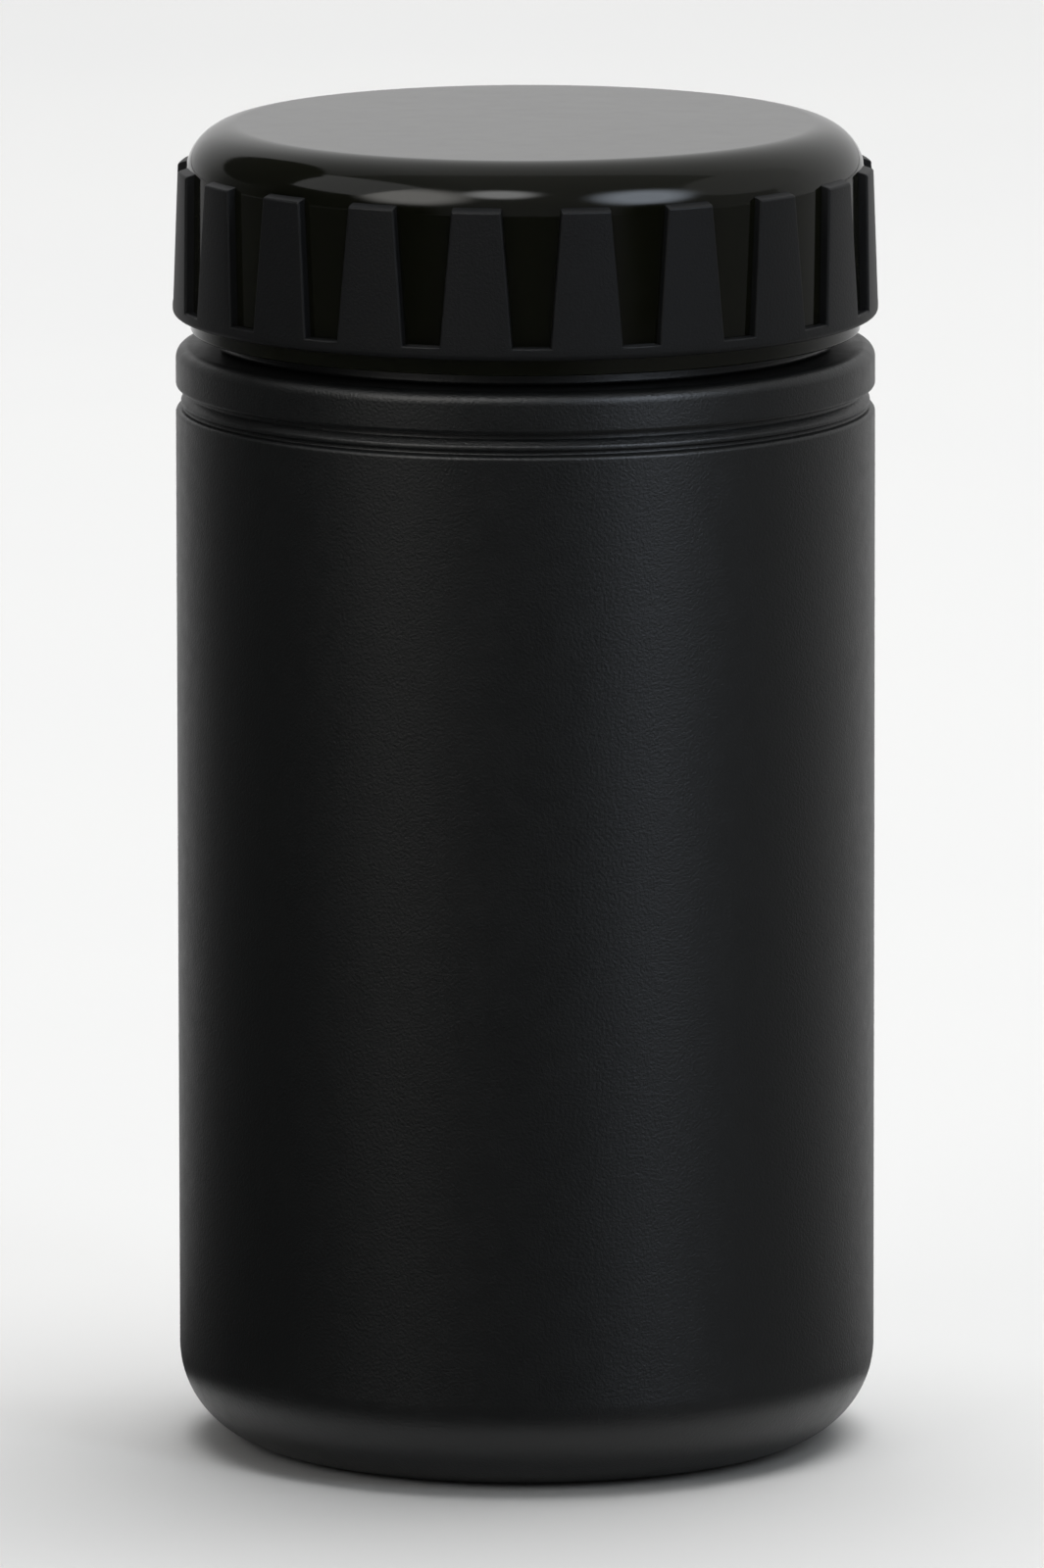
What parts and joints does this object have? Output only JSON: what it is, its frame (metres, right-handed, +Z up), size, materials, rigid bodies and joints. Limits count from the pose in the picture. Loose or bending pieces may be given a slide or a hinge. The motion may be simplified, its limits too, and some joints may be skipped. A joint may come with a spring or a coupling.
{
  "type": "screw-lid canister",
  "caption": "Small wide-mouth storage canister: straight round body with a retaining groove and bead, and a glossy screw lid with a ribbed matte grip.",
  "frame": {"origin": "centre of the base, on the plane that the foot ring stands on", "axes": "+Z up along the canister's axis, from the base to the lid; -Y is the front"},
  "size_m": [0.0746, 0.0746, 0.1409],
  "materials": {
    "body_plastic": "black polyethylene, satin, fine mould grain",
    "lid_plastic": "black, polished gloss",
    "grip_plastic": "charcoal black, matte, fine mould texture",
    "gasket_rubber": "dark grey, smooth matte"
  },
  "bodies": {
    "canister": {"canister_body": "body_plastic"},
    "seal": {"lid_gasket": "gasket_rubber"},
    "lid": {"lid": "lid_plastic", "lid_grip": "grip_plastic"}
  },
  "joints": [
    {"name": "lid_rise", "type": "slide", "parent": "canister", "child": "seal", "axis": [0, 0, 1], "range_m": [0, 0.021]},
    {"name": "lid_turn", "type": "hinge", "parent": "seal", "child": "lid", "pos_m": [0, 0, 0.13], "axis": [0, 0, 1], "range_deg": [0, 1260]}
  ],
  "couplings": [
    {"joint": "lid_rise", "follows": "lid_turn", "m_per_rad": 0.00095493}
  ]
}
